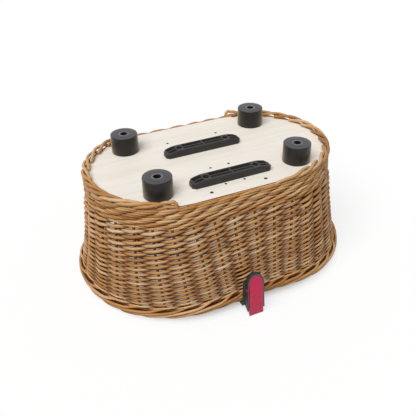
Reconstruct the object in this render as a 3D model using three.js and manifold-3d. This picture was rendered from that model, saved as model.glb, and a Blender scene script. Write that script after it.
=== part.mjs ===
// Woven pet basket for a bicycle's rear carrier, turned over and standing on its rim:
// willow wall and borders, plywood base with feet and carrier rails, sprung latch on the rim.
// Millimetres, +Z up, X along the basket, the latch side faces -Y.
import * as THREE from "three";
import { mergeVertices } from "three/addons/utils/BufferGeometryUtils.js";
import Module from "manifold-3d";

const wasm = await Module();
wasm.setup();

// Driving dimensions
const seatGap = 0.3; // between pieces that touch
const holeGap = 0.3; // round a screw's shank

const plateStraight = 162; // straight side of the base plate
const plateRadius = 126; // its round ends
const plateThickness = 9;

const wallThickness = 12; // stakes with a weaver on either side
const wallMargin = 8; // the weave stands this far outside the plate's edge
const waleProud = 1.2; // a wale is thicker than the plain weave, on both sides
const baseWaleHeight = 31;
const rimWaleHeight = 7;
const weaveRelief = 5; // from a rod in front of its stake to one behind it
const rimStraight = 120; // straight side of the rim's outline
const rimRadius = 180; // round ends of the wall at the rim
const rimDepth = 187; // plate face to rim, at the ends
const rimArch = 16; // the rim rises this much in the middle of the long sides
const borderHeight = 20;
const borderWidth = 20;
const sideFlare = 1; // the long sides lean out evenly,
const endFlare = 1.8; // the ends open like a trumpet

const footBorderWidth = 20;
const footBorderHeight = 11;
const footBorderSweep = 164; // degrees round each end of the plate
const footBorderEnd = 0.55; // share of its height left where it runs out
const footBorderSole = 0.45; // share of its half round cut flat below

const footEndInset = 85; // foot's middle from the plate's round end
const footSideInset = 46; // and from its straight side
const footDiameter = 46.8;
const footTopDiameter = 45.8;
const footHeight = 32;
const footEdge = 1.2; // rounding of the free end
const footBore = 13; // recess for the screw's head
const footBoreDepth = 21;

const railLength = 139;
const railWidth = 21.5;
const railHeight = 12;
const railEndHeight = 7;
const railRamp = 24; // length of the sloping ends
const railRampBend = 15; // where the slope turns into the flat top, from the end
const railScrewSeat = 6; // height of the seat for the screw's head
const railCorner = 5;
const railSpacing = 108;
const railInset = 44.3; // front rail's middle from the plate's edge on the latch side
const railWall = 2.2;
const railFloor = 3; // of the wide slot, on the far side of the web
const railLedge = 7.5; // of the shallow slot, on the near side
const railSlot = 8;
const railScrewSpacing = 87;
const railBossLength = 13;

const screwDiameter = 4.4;
const screwHead = 9;
const screwHeadHeight = 3;
const screwHeadRim = 1.2; // straight part of the head's edge
const screwCrown = 6.5; // width of the head where its crown starts
const screwCrownHeight = 0.45;
const screwTip = 1.5; // blunt end of the point
const screwBite = 7; // how far a screw enters the plate
const pilotHole = 4.6;
const pilotHoleWide = 6;
const pilotPlaces = [
  [47, 72.5, pilotHole],
  [47, -110, pilotHoleWide],
  [16.5, -40.7, pilotHole],
  [16.5, -96.4, pilotHole],
]; // spare holes for other carriers, repeated at -x

const latchX = -14; // beside a stake
const latchWidth = 28; // round its top
const latchFootWidth = 31; // wider at the ground
const latchTop = 76.5;
const latchLean = 4.2; // degrees, the front leans back
const cheekThickness = 2.4;
const cheekEnd = 10; // lower end of the cheeks, at the front
const cheekSlant = 8; // and how much higher it is at the back
const housingDepth = 13.2; // at the ground
const housingBack = 1.8;
const housingCrown = 8; // the tray's front slopes back over this height,
const housingCrownSetback = 1.5; // by this much
const clipThickness = 3.2;
const clipWidth = 33;
const clipTop = 62;
const clipBridge = 5;
const latchScrewSpacing = 16;
const latchScrewHeight = 47;
const latchBoss = 9;
const latchHeadSeat = 11;
const latchScrewShort = 0.6; // the points stay this far inside the housing's back

const leverWidth = 25;
const leverTip = 1; // clear of the ground
const leverProud = 1; // in front of the cheeks
const leverThickness = 2.8;
const leverNose = 6; // depth of the catch behind the tip
const leverNoseHeight = 8;
const leverNeck = 2; // the catch runs into the lever's back over this height,
const leverNeckDepth = 0.6; // and ends this far behind it
const leverTaper = 2.6; // narrower at the top than at the tip
const leverDome = 14; // height of the rounded upper end
const leverDomeCrest = 3;
const leverDomeFlat = 1.2;
const leverTopSlope = 4; // height of the slope behind the upper end
const leverTopGap = 0.9; // round the lever's top, in the housing
const pivotHeight = 48;
const pivotSetback = 5.3; // behind the lever's face
const pivotDiameter = 5;
const pivotGap = 0.3;

const springHeight = 60;
const springDiameter = 6;
const springWire = 0.7;
const springTurns = 2.5;
const springStud = 2; // pin that holds the coil

const over = 1; // cutters run past the faces they cut
const join = 0.5; // added pieces start this far inside their neighbour

// Derived places
const footX = plateStraight / 2 + plateRadius - footEndInset;
const footY = plateRadius - footSideInset;
const frontRailY = railInset - plateRadius;
const plateTop = rimDepth;
const plateBottom = plateTop - plateThickness;
const borderAxisDrop = rimDepth - borderHeight / 2; // plate face to border axis, at the ends
const rimHalfLength = rimStraight / 2 + rimRadius;
const borderReach = borderWidth / 2 - wallThickness / 2; // outside the wall's own face
const rimOut = rimRadius + borderReach; // border's outside on the long sides, from the middle
const rimIn = rimOut - borderWidth;
const clipFace = -(rimOut + seatGap + clipThickness); // outer face of the clip
const housingRear = clipFace - seatGap;
const housingFront = housingRear - housingDepth;
const leverFace = housingFront - leverProud; // at the tip, leaning back from there
const leanedBy = (z) => (z - leverTip) * Math.tan(THREE.MathUtils.degToRad(latchLean));
const pivotY = leverFace + leanedBy(pivotHeight) + pivotSetback;
const middleY = (rimOut + leverFace) / -2; // puts the middle of the whole on the Z axis

const basket = new THREE.Group();
basket.position.y = middleY;

// Finishes
const finish = (color, roughness, metalness = 0) =>
  new THREE.MeshStandardMaterial({ color, roughness, metalness });
const willow = finish(0xb98246, 0.6);
const plywood = finish(0xeadfcb, 0.7);
const rubber = finish(0x37373b, 0.75);
const blackPlastic = finish(0x2a2b2e, 0.55);
const redPlastic = finish(0xc32850, 0.35);
const steel = finish(0x8d9094, 0.35, 1);
const darkSteel = finish(0x2e3034, 0.4, 1);

function place(name, geometry, material) {
  const mesh = new THREE.Mesh(geometry, material);
  mesh.name = name;
  basket.add(mesh);
  return mesh;
}

// Solids: closed geometry to a manifold and back
function solid(geometry) {
  const bare = new THREE.BufferGeometry();
  bare.setAttribute("position", geometry.getAttribute("position").clone());
  bare.setIndex(geometry.index);
  const merged = mergeVertices(bare, 1e-4);
  return new wasm.Manifold(
    new wasm.Mesh({
      numProp: 3,
      vertProperties: new Float32Array(merged.attributes.position.array),
      triVerts: new Uint32Array(merged.index.array),
    }),
  );
}

function geometryOf(made) {
  const mesh = made.getMesh();
  return new THREE.BufferGeometry()
    .setAttribute("position", new THREE.BufferAttribute(mesh.vertProperties, 3))
    .setIndex(new THREE.BufferAttribute(mesh.triVerts, 1));
}

// A plan outline pushed up from z = low to z = high.
function pushUp(shape, low, high, curveSegments = 12) {
  const depth = high - low;
  return new THREE.ExtrudeGeometry(shape, { depth, bevelEnabled: false, curveSegments }).translate(0, 0, low);
}

// A side profile drawn in (y, z), pushed along X, centred on x.
function pushAlongX(points, width, x) {
  const shape = new THREE.Shape(points.map(([y, z]) => new THREE.Vector2(y, z)));
  const body = new THREE.ExtrudeGeometry(shape, { depth: width, bevelEnabled: false });
  const turn = new THREE.Matrix4().makeBasis(
    new THREE.Vector3(0, 1, 0),
    new THREE.Vector3(0, 0, 1),
    new THREE.Vector3(1, 0, 0),
  );
  return body.applyMatrix4(turn).translate(x - width / 2, 0, 0);
}

// A front outline drawn in (x, z), pushed from y = near to y = far.
function pushAlongY(shape, near, far, curveSegments = 10) {
  const body = new THREE.ExtrudeGeometry(shape, { depth: far - near, bevelEnabled: false, curveSegments });
  return body.rotateX(Math.PI / 2).translate(0, far, 0);
}

const box = (x0, x1, y0, y1, z0, z1) =>
  new THREE.BoxGeometry(x1 - x0, y1 - y0, z1 - z0).translate((x0 + x1) / 2, (y0 + y1) / 2, (z0 + z1) / 2);

const postZ = (diameter, x, y, low, high, sides = 16) =>
  new THREE.CylinderGeometry(diameter / 2, diameter / 2, high - low, sides)
    .rotateX(Math.PI / 2)
    .translate(x, y, (low + high) / 2);

const postY = (diameter, x, z, near, far, sides = 16) =>
  new THREE.CylinderGeometry(diameter / 2, diameter / 2, far - near, sides).translate(x, (near + far) / 2, z);

const postX = (diameter, y, z, left, right, sides = 20) =>
  new THREE.CylinderGeometry(diameter / 2, diameter / 2, right - left, sides)
    .rotateZ(Math.PI / 2)
    .translate((left + right) / 2, y, z);

// Pan head at z = 0 facing up, shank below it, ending in a short point.
function screwGeometry(length) {
  const head = screwHead / 2;
  const shank = screwDiameter / 2;
  const profile = [
    [0, -length],
    [screwTip / 2, -length],
    [shank, -length + screwDiameter],
    [shank, 0],
    [head, 0],
    [head, screwHeadRim],
    [screwCrown / 2, screwHeadHeight - screwCrownHeight],
    [0, screwHeadHeight],
  ];
  const points = profile.map(([r, z]) => new THREE.Vector2(r, z));
  return new THREE.LatheGeometry(points, 16).rotateX(Math.PI / 2);
}

// Stations round the outline: which part of the straight side, and which way the wall faces there.
const arcSteps = 18;
const straightSteps = 4;
const weaveCourses = 11;
function stationsRound() {
  const list = [];
  const corners = [
    { from: 1, facing: -Math.PI / 2 },
    { from: -1, facing: Math.PI / 2 },
  ];
  for (const { from, facing } of corners) {
    for (let i = 0; i <= arcSteps; i++) list.push({ along: from, angle: facing + (Math.PI * i) / arcSteps });
    for (let i = 1; i < straightSteps; i++)
      list.push({ along: from * (1 - (2 * i) / straightSteps), angle: facing + Math.PI });
  }
  return list;
}

// The wall's outer face: from the plate's outline to the rim's, leaning out on the way down.
function wallPoint({ along, angle }, drop, outward = 0) {
  const face = new THREE.Vector2(Math.cos(angle), Math.sin(angle));
  const atPlate = new THREE.Vector2((along * plateStraight) / 2, 0);
  atPlate.addScaledVector(face, plateRadius + wallMargin);
  const atRim = new THREE.Vector2((along * rimStraight) / 2, 0).addScaledVector(face, rimRadius);
  const flare = THREE.MathUtils.lerp(sideFlare, endFlare, face.x ** 2);
  const share = Math.max(drop / borderDrop({ along, angle }), 0) ** flare;
  const point = atPlate.lerp(atRim, share).addScaledVector(face, outward);
  return new THREE.Vector3(point.x, point.y, plateTop - drop);
}

// Plate face to border axis: less in the middle of the long sides, where the rim arches up.
function borderDrop({ along, angle }) {
  const x = (along * rimStraight) / 2 + rimRadius * Math.cos(angle);
  return borderAxisDrop - rimArch * (1 - (x / rimHalfLength) ** 2) ** 2;
}

// Skin over a row of equal loops. Closed rows join their ends, open ones get caps.
// Crossed faces change the way they are halved by turns, which parts the high points of a relief.
function loft(loops, closed, crossed = false) {
  const count = loops[0].length;
  const position = loops.flat().flatMap((p) => [p.x, p.y, p.z]);
  const index = [];
  const spans = closed ? loops.length : loops.length - 1;
  for (let i = 0; i < spans; i++) {
    const a = i * count;
    const b = ((i + 1) % loops.length) * count;
    for (let j = 0; j < count; j++) {
      const k = (j + 1) % count;
      if (crossed && (i + j) % 2 === 0) index.push(a + j, b + j, a + k, b + j, b + k, a + k);
      else index.push(a + j, b + j, b + k, a + j, b + k, a + k);
    }
  }
  if (!closed) {
    const last = (loops.length - 1) * count;
    for (let j = 1; j < count - 1; j++) index.push(0, j, j + 1, last, last + j + 1, last + j);
  }
  const geometry = new THREE.BufferGeometry();
  geometry.setAttribute("position", new THREE.Float32BufferAttribute(position, 3));
  geometry.setIndex(index);
  if (solid(geometry).volume() < 0) {
    for (let i = 0; i < index.length; i += 3) [index[i + 1], index[i + 2]] = [index[i + 2], index[i + 1]];
    geometry.setIndex(index);
  }
  return geometry;
}

// A band of the wall between two drops, each a function of the station.
// With a relief it goes in and out by turns, as the rods do round their stakes.
function wallBand(from, to, proud, levels, relief = 0) {
  const loops = stationsRound().map((station, turn) => {
    const outside = [];
    const inside = [];
    for (let i = 0; i <= levels; i++) {
      const drop = THREE.MathUtils.lerp(from(station), to(station), i / levels);
      const inset = (turn + i) % 2 ? relief : 0;
      outside.push(wallPoint(station, drop, proud - inset));
      inside.push(wallPoint(station, drop, relief - inset - wallThickness - proud));
    }
    return [...outside, ...inside.reverse()];
  });
  return loft(loops, true, relief > 0);
}

// Woven body: base wale round the plate, plain weave, rim wale, rolled rim border
function wovenBody() {
  const borderTop = (station) => borderDrop(station) - borderHeight / 2 - seatGap;
  const rimWaleTop = (station) => borderTop(station) - rimWaleHeight;

  // The base wale holds the plate's edge in a step.
  const seatDrop = plateThickness + seatGap;
  const baseLoops = stationsRound().map((station) => {
    const edge = seatGap - wallMargin;
    const lip = wallPoint(station, 0, edge);
    const step = lip.clone().setZ(plateTop - seatDrop);
    return [
      wallPoint(station, 0, waleProud),
      wallPoint(station, baseWaleHeight / 2, waleProud),
      wallPoint(station, baseWaleHeight, waleProud),
      wallPoint(station, baseWaleHeight, -wallThickness - waleProud),
      wallPoint(station, seatDrop, -wallThickness - waleProud),
      step,
      lip,
    ];
  });
  place("base_wale", loft(baseLoops, true), willow);

  const weaveTop = () => baseWaleHeight + seatGap;
  const weaveEnd = (station) => rimWaleTop(station) - seatGap;
  let weave = solid(wallBand(weaveTop, weaveEnd, 0, weaveCourses, weaveRelief));
  for (const x of latchScrewPlaces()) {
    const hole = postY(screwDiameter + 2 * holeGap, x, latchScrewHeight, -rimOut, -rimIn + wallThickness);
    weave = weave.subtract(solid(hole));
  }
  place("wicker_wall", geometryOf(weave), willow);
  place("rim_wale", wallBand(rimWaleTop, borderTop, waleProud, 1), willow);

  const rollSides = 16;
  const rollLoops = stationsRound().map((station) => {
    const drop = borderDrop(station);
    const axis = wallPoint(station, drop, -wallThickness / 2);
    const loop = [];
    for (let i = 0; i < rollSides; i++) {
      const turn = (2 * Math.PI * i) / rollSides;
      const out = (Math.cos(turn) * borderWidth) / 2;
      const up = (Math.sin(turn) * borderHeight) / 2;
      loop.push(
        new THREE.Vector3(
          axis.x + out * Math.cos(station.angle),
          axis.y + out * Math.sin(station.angle),
          axis.z + up,
        ),
      );
    }
    return loop;
  });
  place("rim_border", loft(rollLoops, true), willow);
}

// Plaited foot borders: the stakes turned over the round ends of the plate
function footBorders() {
  const steps = 20;
  const sides = 12;
  const middle = plateRadius + wallMargin + waleProud - footBorderWidth / 2;
  const sweep = THREE.MathUtils.degToRad(footBorderSweep);
  for (const [name, end] of [
    ["foot_border_right", 1],
    ["foot_border_left", -1],
  ]) {
    const loops = [];
    for (let i = 0; i <= steps; i++) {
      const angle = sweep * (i / steps - 0.5);
      const middleness = Math.sqrt(Math.sin((Math.PI * i) / steps));
      const taper = THREE.MathUtils.lerp(footBorderEnd, 1, middleness); // ends run out thin
      const loop = [];
      for (let j = 0; j < sides; j++) {
        const turn = (2 * Math.PI * j) / sides;
        const reach = middle + (Math.cos(turn) * footBorderWidth) / 2;
        const high = (Math.max(Math.sin(turn), -footBorderSole) + footBorderSole) / (1 + footBorderSole);
        const z = plateTop + seatGap + high * footBorderHeight * taper;
        const x = (plateStraight / 2 + reach * Math.cos(angle)) * end;
        loop.push(new THREE.Vector3(x, reach * Math.sin(angle), z));
      }
      loops.push(loop);
    }
    place(name, loft(loops, false), willow);
  }
}

// Base plate: plywood stadium with the screw holes and the spare pilot holes
const footPlaces = [
  ["front_left", -1, -1],
  ["front_right", 1, -1],
  ["back_left", -1, 1],
  ["back_right", 1, 1],
].map(([name, sx, sy]) => ({ name, x: sx * footX, y: sy * footY }));

const railPlaces = [
  { name: "front", y: frontRailY },
  { name: "back", y: frontRailY + railSpacing },
];

const railScrewPlaces = railPlaces.flatMap(({ name, y }) =>
  [
    ["left", -1],
    ["right", 1],
  ].map(([end, side]) => ({ name: `${name}_${end}`, x: (side * railScrewSpacing) / 2, y })),
);

function latchScrewPlaces() {
  return [latchX - latchScrewSpacing / 2, latchX + latchScrewSpacing / 2];
}

function basePlate() {
  const half = plateStraight / 2;
  const outline = new THREE.Shape();
  outline.absarc(half, 0, plateRadius, -Math.PI / 2, Math.PI / 2);
  outline.absarc(-half, 0, plateRadius, Math.PI / 2, (3 * Math.PI) / 2);
  const hole = (x, y, diameter) => {
    const path = new THREE.Path();
    path.absarc(x, y, diameter / 2, 0, 2 * Math.PI, true);
    outline.holes.push(path);
  };
  for (const { x, y } of [...footPlaces, ...railScrewPlaces]) hole(x, y, screwDiameter + 2 * holeGap);
  for (const [x, y, diameter] of pilotPlaces) for (const side of [-1, 1]) hole(side * x, y, diameter);
  place("base_plate", pushUp(outline, plateBottom, plateTop, arcSteps / 2), plywood);
}

// Feet: turned rubber buffers, each held by a screw deep in its recess
function feet() {
  const low = plateTop + seatGap;
  const bottom = footDiameter / 2;
  const top = footTopDiameter / 2;
  const shaft = screwDiameter / 2 + holeGap;
  const seat = footHeight - footBoreDepth;
  const rounding = [];
  for (let i = 0; i <= 3; i++) {
    const turn = (Math.PI / 2) * (i / 3);
    rounding.push([top - footEdge * (1 - Math.cos(turn)), footHeight - footEdge * (1 - Math.sin(turn))]);
  }
  const profile = [
    [shaft, 0],
    [bottom - footEdge / 2, 0],
    [bottom, footEdge / 2],
    ...rounding,
    [footBore / 2 + footEdge / 2, footHeight],
    [footBore / 2, footHeight - footEdge / 2],
    [footBore / 2, seat],
    [shaft, seat],
    [shaft, 0],
  ].map(([r, z]) => new THREE.Vector2(r, z));
  const footGeometry = new THREE.LatheGeometry(profile, 36).rotateX(Math.PI / 2);
  const screwLength = seat + seatGap + screwBite;
  for (const { name, x, y } of footPlaces) {
    place(`foot_${name}`, footGeometry.clone(), rubber).position.set(x, y, low);
    const screw = place(`foot_screw_${name}`, screwGeometry(screwLength), steel);
    screw.position.set(x, y, low + seat + seatGap);
  }
}

// Carrier rails: open moulded bars with sloping ends, a web between two slots and a boss at each screw
function rails() {
  const half = railLength / 2;
  const wide = railWidth / 2;
  const slope = half - railRamp;
  for (const { name, y } of railPlaces) {
    const outline = new THREE.Shape();
    outline.moveTo(-half + railCorner, -wide);
    outline.lineTo(half - railCorner, -wide);
    outline.lineTo(half, -wide + railCorner);
    outline.lineTo(half, wide - railCorner);
    outline.lineTo(half - railCorner, wide);
    outline.lineTo(-half + railCorner, wide);
    outline.lineTo(-half, wide - railCorner);
    outline.lineTo(-half, -wide + railCorner);
    const plan = solid(pushUp(outline, 0, railHeight));
    const side = new THREE.Shape();
    side.moveTo(-half, 0);
    side.lineTo(half, 0);
    side.lineTo(half, railEndHeight);
    side.quadraticCurveTo(half - railRampBend, railHeight, slope, railHeight);
    side.lineTo(-slope, railHeight);
    side.quadraticCurveTo(-half + railRampBend, railHeight, -half, railEndHeight);
    let bar = plan.intersect(solid(pushAlongY(side, -wide, wide, 6)));

    // Slots run from the middle web to the boss, and from the boss to the sloping end.
    const bossFrom = (railScrewSpacing - railBossLength) / 2;
    const bossTo = (railScrewSpacing + railBossLength) / 2;
    const slotRuns = [
      [railWall / 2, bossFrom],
      [bossTo, half - railWall - railCorner / 2],
    ];
    const farSlot = [wide - railWall - railSlot, wide - railWall, railFloor];
    const nearSlot = [-wide + railWall, wide - 2 * railWall - railSlot, railLedge];
    for (const [from, to] of slotRuns)
      for (const [y0, y1, floor] of [farSlot, nearSlot]) {
        bar = bar.subtract(solid(box(from, to, y0, y1, floor, railHeight + over)));
        bar = bar.subtract(solid(box(-to, -from, y0, y1, floor, railHeight + over)));
      }
    for (const sideX of [-1, 1]) {
      const x = (sideX * railScrewSpacing) / 2;
      bar = bar.subtract(solid(postZ(screwHead + 4 * holeGap, x, 0, railScrewSeat, railHeight + over)));
      bar = bar.subtract(solid(postZ(screwDiameter + 2 * holeGap, x, 0, -over, railHeight)));
    }
    place(`rail_${name}`, geometryOf(bar), blackPlastic).position.set(0, y, plateTop + seatGap);
  }
  for (const { name, x, y } of railScrewPlaces) {
    const screw = place(`rail_screw_${name}`, screwGeometry(railScrewSeat + seatGap + screwBite), darkSteel);
    screw.position.set(x, y, plateTop + seatGap + railScrewSeat + seatGap);
  }
}

// An upright outline with a round top: straight sides from z = low, width w.
function archOutline(width, low, top, footWidth = width) {
  const half = width / 2;
  const outline = new THREE.Shape();
  outline.moveTo(latchX - footWidth / 2, low);
  outline.lineTo(latchX + footWidth / 2, low);
  outline.lineTo(latchX + half, top - half);
  outline.absarc(latchX, top - half, half, 0, Math.PI);
  return outline;
}

// Latch: clip over the rim, housing, sprung lever on its own trunnions
function latch() {
  const facing = -Math.PI / 2;
  const middle = { along: 0, angle: facing };
  const clipEdge = { along: (Math.abs(latchX) + clipWidth / 2) / (rimStraight / 2), angle: facing };
  const rimLow = plateTop - borderDrop(clipEdge) - borderHeight / 2; // the arch is lowest at the clip's edge
  const wallIn = (z) => wallPoint(middle, plateTop - z, -wallThickness - waleProud).y;
  const bossLow = latchScrewHeight - latchBoss / 2; // the wall leans, so a boss meets it here first
  const waleOut = wallPoint(clipEdge, plateTop - bossLow, waleProud).y;
  const bridgeTop = rimLow - seatGap;
  const bridgeLow = bridgeTop - clipBridge;
  const legIn = -rimIn + seatGap; // inner leg, where it passes the border
  const legTop = wallIn(clipTop) + seatGap; // and where it meets the weave
  const borderMiddle = rimLow + borderHeight / 2;
  const clipOuterTop = latchScrewHeight + latchBoss;
  const clipRear = clipFace + clipThickness;

  // The clip is a bent strap: up the outside, under the border, up the inside.
  const strap = [
    [clipFace, clipOuterTop],
    [clipFace, bridgeLow + clipThickness],
    [clipFace + clipThickness, bridgeLow],
    [legIn, bridgeLow],
    [legIn + clipThickness, bridgeLow + clipThickness],
    [legIn + clipThickness, borderMiddle],
    [legTop + clipThickness, clipTop],
    [legTop, clipTop],
    [legIn, borderMiddle],
    [legIn, bridgeTop],
    [clipRear, bridgeTop],
    [clipRear, clipOuterTop],
  ];
  let clip = solid(pushAlongX(strap, clipWidth, latchX));
  const legAtScrew = THREE.MathUtils.mapLinear(latchScrewHeight, borderMiddle, clipTop, legIn, legTop);
  const headSeat = legTop + clipThickness; // flat seat for the screw heads
  for (const x of latchScrewPlaces()) {
    clip = clip.add(solid(postY(latchBoss, x, latchScrewHeight, clipRear - join, waleOut - seatGap)));
    clip = clip.add(solid(postY(latchHeadSeat, x, latchScrewHeight, legAtScrew + join, headSeat)));
  }
  for (const x of latchScrewPlaces()) {
    const hole = postY(screwDiameter + 2 * holeGap, x, latchScrewHeight, clipFace - over, headSeat + over);
    clip = clip.subtract(solid(hole));
  }
  place("latch_clip", geometryOf(clip), blackPlastic);

  // Housing: round-topped tray, cheeks cut off on a slant
  const walls = 2 * cheekThickness;
  const tray = archOutline(latchWidth, 0, latchTop, latchFootWidth);
  const channel = archOutline(latchWidth - walls, -over, latchTop - cheekThickness, latchFootWidth - walls);
  const channelRear = housingRear - housingBack;
  const frontAt = (z) => housingFront + leanedBy(z);
  const sideView = [
    [frontAt(cheekEnd), cheekEnd],
    [housingRear, cheekEnd + cheekSlant],
    [housingRear, latchTop + over],
    [frontAt(latchTop) + housingCrownSetback, latchTop + over],
    [frontAt(latchTop - housingCrown), latchTop - housingCrown],
  ];
  let housing = solid(pushAlongY(tray, housingFront, housingRear, 12));
  housing = housing.intersect(solid(pushAlongX(sideView, latchFootWidth + 2 * over, latchX)));
  housing = housing.subtract(solid(pushAlongY(channel, housingFront - over, channelRear, 12)));
  housing = housing.subtract(
    solid(postX(pivotDiameter + 2 * pivotGap, pivotY, pivotHeight, latchX - latchWidth, latchX + latchWidth)),
  );
  const stud = springDiameter - 2 * springWire - 2 * holeGap;
  const studPost = postY(stud, latchX, springHeight, channelRear - springStud, channelRear + join);
  housing = housing.add(solid(studPost));
  for (const x of latchScrewPlaces())
    housing = housing.subtract(
      solid(postY(screwDiameter + 2 * holeGap, x, latchScrewHeight, channelRear - over, housingRear + over)),
    );
  place("latch_housing", geometryOf(housing), blackPlastic);

  // Lever: thin above the pivot, a hub at the pivot, a wedge-shaped catch behind the tip
  const leverTop = latchTop - cheekThickness - leverTopGap;
  const faceAt = (z) => leverFace + leanedBy(z);
  const backAt = (z) => faceAt(z) + leverThickness;
  const nose = leverTip + leverNoseHeight;
  const hubLow = pivotHeight - pivotDiameter;
  const hubHigh = pivotHeight + pivotDiameter;
  const slopeLow = leverTop - leverTopSlope;
  const crest = leverTop - leverDomeCrest;
  const leverSide = new THREE.Shape();
  leverSide.moveTo(leverFace, leverTip);
  leverSide.lineTo(faceAt(nose) + leverNose, nose);
  leverSide.lineTo(backAt(nose) + leverNeckDepth, nose + leverNeck);
  leverSide.lineTo(backAt(hubLow), hubLow);
  leverSide.lineTo(pivotY, pivotHeight - pivotDiameter / 2);
  leverSide.lineTo(pivotY + pivotDiameter / 2, pivotHeight);
  leverSide.lineTo(pivotY, pivotHeight + pivotDiameter / 2);
  leverSide.lineTo(backAt(hubHigh), hubHigh);
  leverSide.lineTo(backAt(slopeLow), slopeLow);
  leverSide.lineTo(backAt(leverTop) - leverDomeFlat, leverTop);
  leverSide.quadraticCurveTo(faceAt(crest), crest, faceAt(leverTop - leverDome), leverTop - leverDome);
  const sidePoints = leverSide.getPoints(6).map((p) => [p.x, p.y]);
  const front = archOutline(leverWidth - leverTaper, leverTip - over, leverTop, leverWidth);
  let lever = solid(pushAlongX(sidePoints, leverWidth + 2 * over, latchX));
  lever = lever.intersect(solid(pushAlongY(front, leverFace - over, housingRear, 12)));
  const archStart = latchTop - latchWidth / 2;
  const trunnion = THREE.MathUtils.mapLinear(pivotHeight, 0, archStart, latchFootWidth, latchWidth) / 2;
  lever = lever.add(solid(postX(pivotDiameter, pivotY, pivotHeight, latchX - trunnion, latchX + trunnion)));
  place("latch_lever", geometryOf(lever), redPlastic);

  // Spring: open coil between the tray and the lever's upper end
  const springFrom = channelRear - seatGap - springWire / 2;
  const springTo = backAt(springHeight) + seatGap + springWire / 2;
  const coilRadius = (springDiameter - springWire) / 2;
  const stepsPerTurn = 10;
  const wireSides = 5;
  const coilPoint = (turn) => {
    const angle = turn * 2 * Math.PI;
    const y = THREE.MathUtils.lerp(springFrom, springTo, turn / springTurns);
    const x = latchX + coilRadius * Math.cos(angle);
    return new THREE.Vector3(x, y, springHeight + coilRadius * Math.sin(angle));
  };
  const loops = [];
  for (let i = 0; i <= springTurns * stepsPerTurn; i++) {
    const turn = i / stepsPerTurn;
    const centre = coilPoint(turn);
    const outward = new THREE.Vector3(Math.cos(turn * 2 * Math.PI), 0, Math.sin(turn * 2 * Math.PI));
    const loop = [];
    for (let j = 0; j < wireSides; j++) {
      const angle = (2 * Math.PI * j) / wireSides;
      const point = centre.clone().addScaledVector(outward, (Math.cos(angle) * springWire) / 2);
      point.y += (Math.sin(angle) * springWire) / 2;
      loop.push(point);
    }
    loops.push(loop);
  }
  let coilGap = Infinity;
  for (let turn = 0; turn + 1 <= springTurns; turn += 1 / stepsPerTurn)
    coilGap = Math.min(coilGap, coilPoint(turn).distanceTo(coilPoint(turn + 1)) - springWire);
  console.log(`latch spring: least gap between curls ${coilGap.toFixed(2)} mm`);
  place("latch_spring", loft(loops, false), steel);

  // Screws: heads inside the basket, points in the housing
  const screwLength = headSeat + seatGap - (channelRear + latchScrewShort);
  ["left", "right"].forEach((side, i) => {
    const screw = place(`latch_screw_${side}`, screwGeometry(screwLength), darkSteel);
    screw.rotation.x = -Math.PI / 2;
    screw.position.set(latchScrewPlaces()[i], headSeat + seatGap, latchScrewHeight);
  });
}

basePlate();
wovenBody();
footBorders();
feet();
rails();
latch();

const part = new THREE.Group();
part.add(basket);
export default part;
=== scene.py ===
# Woven pet basket for a bicycle carrier, turned over: willow weave, plywood base, feet, rails and latch
import math
import random
import bpy
import numpy as np
from mathutils import Matrix, Vector


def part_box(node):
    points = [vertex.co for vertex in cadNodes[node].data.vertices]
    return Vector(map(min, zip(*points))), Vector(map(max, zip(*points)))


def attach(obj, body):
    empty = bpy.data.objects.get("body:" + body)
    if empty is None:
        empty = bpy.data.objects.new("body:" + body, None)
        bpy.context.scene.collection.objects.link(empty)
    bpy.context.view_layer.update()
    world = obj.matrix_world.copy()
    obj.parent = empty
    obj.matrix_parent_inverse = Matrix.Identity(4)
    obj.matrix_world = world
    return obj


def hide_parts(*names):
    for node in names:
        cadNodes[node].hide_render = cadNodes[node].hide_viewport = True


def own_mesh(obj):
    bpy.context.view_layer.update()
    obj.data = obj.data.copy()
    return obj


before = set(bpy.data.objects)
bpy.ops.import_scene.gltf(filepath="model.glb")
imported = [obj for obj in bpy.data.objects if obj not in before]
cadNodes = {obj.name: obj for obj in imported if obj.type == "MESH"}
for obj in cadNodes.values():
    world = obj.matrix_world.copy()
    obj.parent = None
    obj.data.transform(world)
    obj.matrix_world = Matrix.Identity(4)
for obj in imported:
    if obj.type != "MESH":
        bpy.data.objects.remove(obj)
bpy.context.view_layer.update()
bpy.ops.object.select_all(action="DESELECT")
print("stage: frame loaded,", len(cadNodes), "CAD nodes")

# camera: the photograph's place and angles, worked out from the feet, rails and pilot holes
cameraView = {
    "place": (-0.3459, -0.7423, 0.6291),
    "yaw": 24.485,  # degrees, from +Y towards +X
    "pitch": 33.612,  # downwards
    "roll": -1.041,
    "lens": 47.63,
    "sensor": 36,  # mm wide
    "farthest": 50,  # m
}


def addCamera(view):
    yaw, pitch, roll = (math.radians(view[key]) for key in ("yaw", "pitch", "roll"))
    reach = math.cos(pitch)
    forward = Vector((math.sin(yaw) * reach, math.cos(yaw) * reach, -math.sin(pitch)))
    level = Vector((math.cos(yaw), -math.sin(yaw), 0))
    upright = level.cross(forward)
    right = level * math.cos(roll) + upright * math.sin(roll)
    up = upright * math.cos(roll) - level * math.sin(roll)
    turn = Matrix((right, up, -forward)).transposed().to_4x4()
    bpy.ops.object.camera_add()
    camera = bpy.context.object
    camera.name = "camera"
    camera.matrix_world = Matrix.Translation(view["place"]) @ turn
    camera.data.sensor_width = view["sensor"]
    camera.data.lens = view["lens"]
    camera.data.clip_end = view["farthest"]
    bpy.context.scene.camera = camera


addCamera(cameraView)
print("stage: camera")


# finishes
def tint(code):
    channels = [int(code[i:i + 2], 16) / 255 for i in (0, 2, 4)]
    linear = [c / 12.92 if c <= 0.04045 else ((c + 0.055) / 1.055) ** 2.4 for c in channels]
    return (*linear, 1)


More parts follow.
